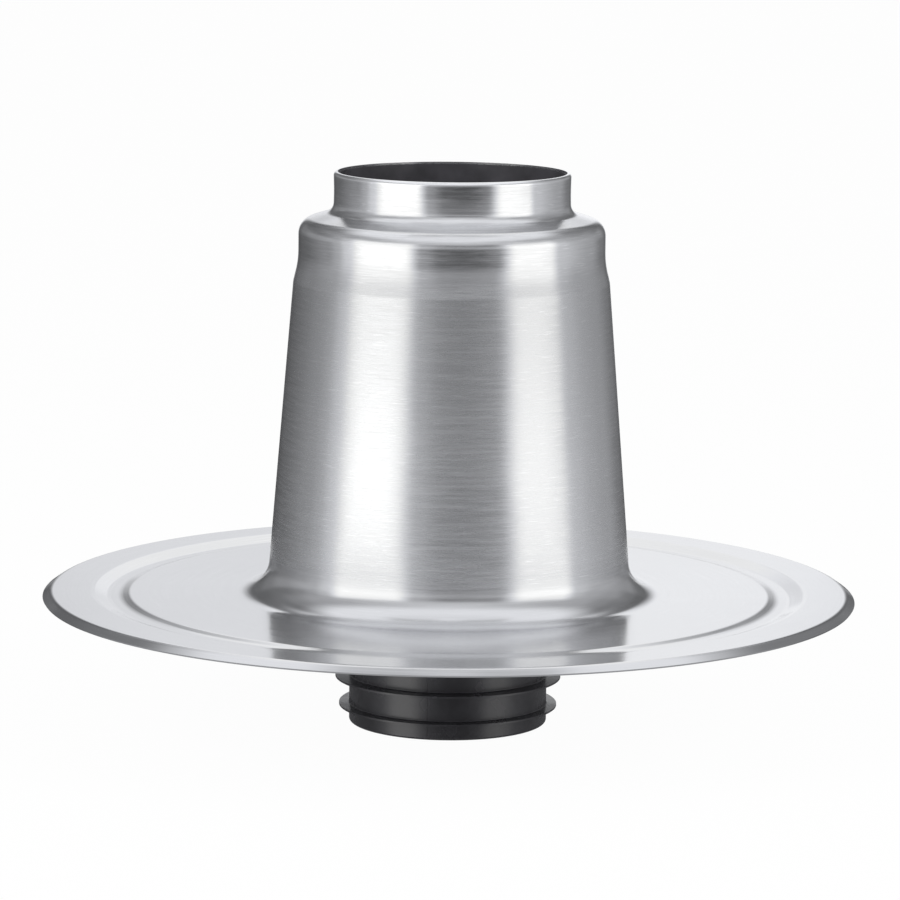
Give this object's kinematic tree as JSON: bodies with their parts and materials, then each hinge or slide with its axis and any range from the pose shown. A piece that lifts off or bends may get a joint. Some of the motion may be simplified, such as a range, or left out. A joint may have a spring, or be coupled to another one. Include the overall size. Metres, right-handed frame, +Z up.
{
  "type": "pipe flashing",
  "caption": "Spun aluminium flat-roof pipe flashing: round flange with bedding groove, tapered cone and collar over a black liner pipe, with a lipped rubber seal on the spigot below the roof.",
  "frame": {"origin": "on the axis, in the roof plane that the flange lies on", "axes": "+Z up the axis, out through the collar; -Z down the spigot"},
  "size_m": [0.4, 0.4, 0.2726],
  "materials": {
    "spun_aluminium": "spun, finely lined round the axis",
    "liner_plastic": "moulded, satin",
    "seal_rubber": "moulded, satin"
  },
  "bodies": {
    "root": {"flashing_shell": "spun_aluminium", "inner_pipe": "liner_plastic", "lip_seal": "seal_rubber"}
  },
  "joints": []
}
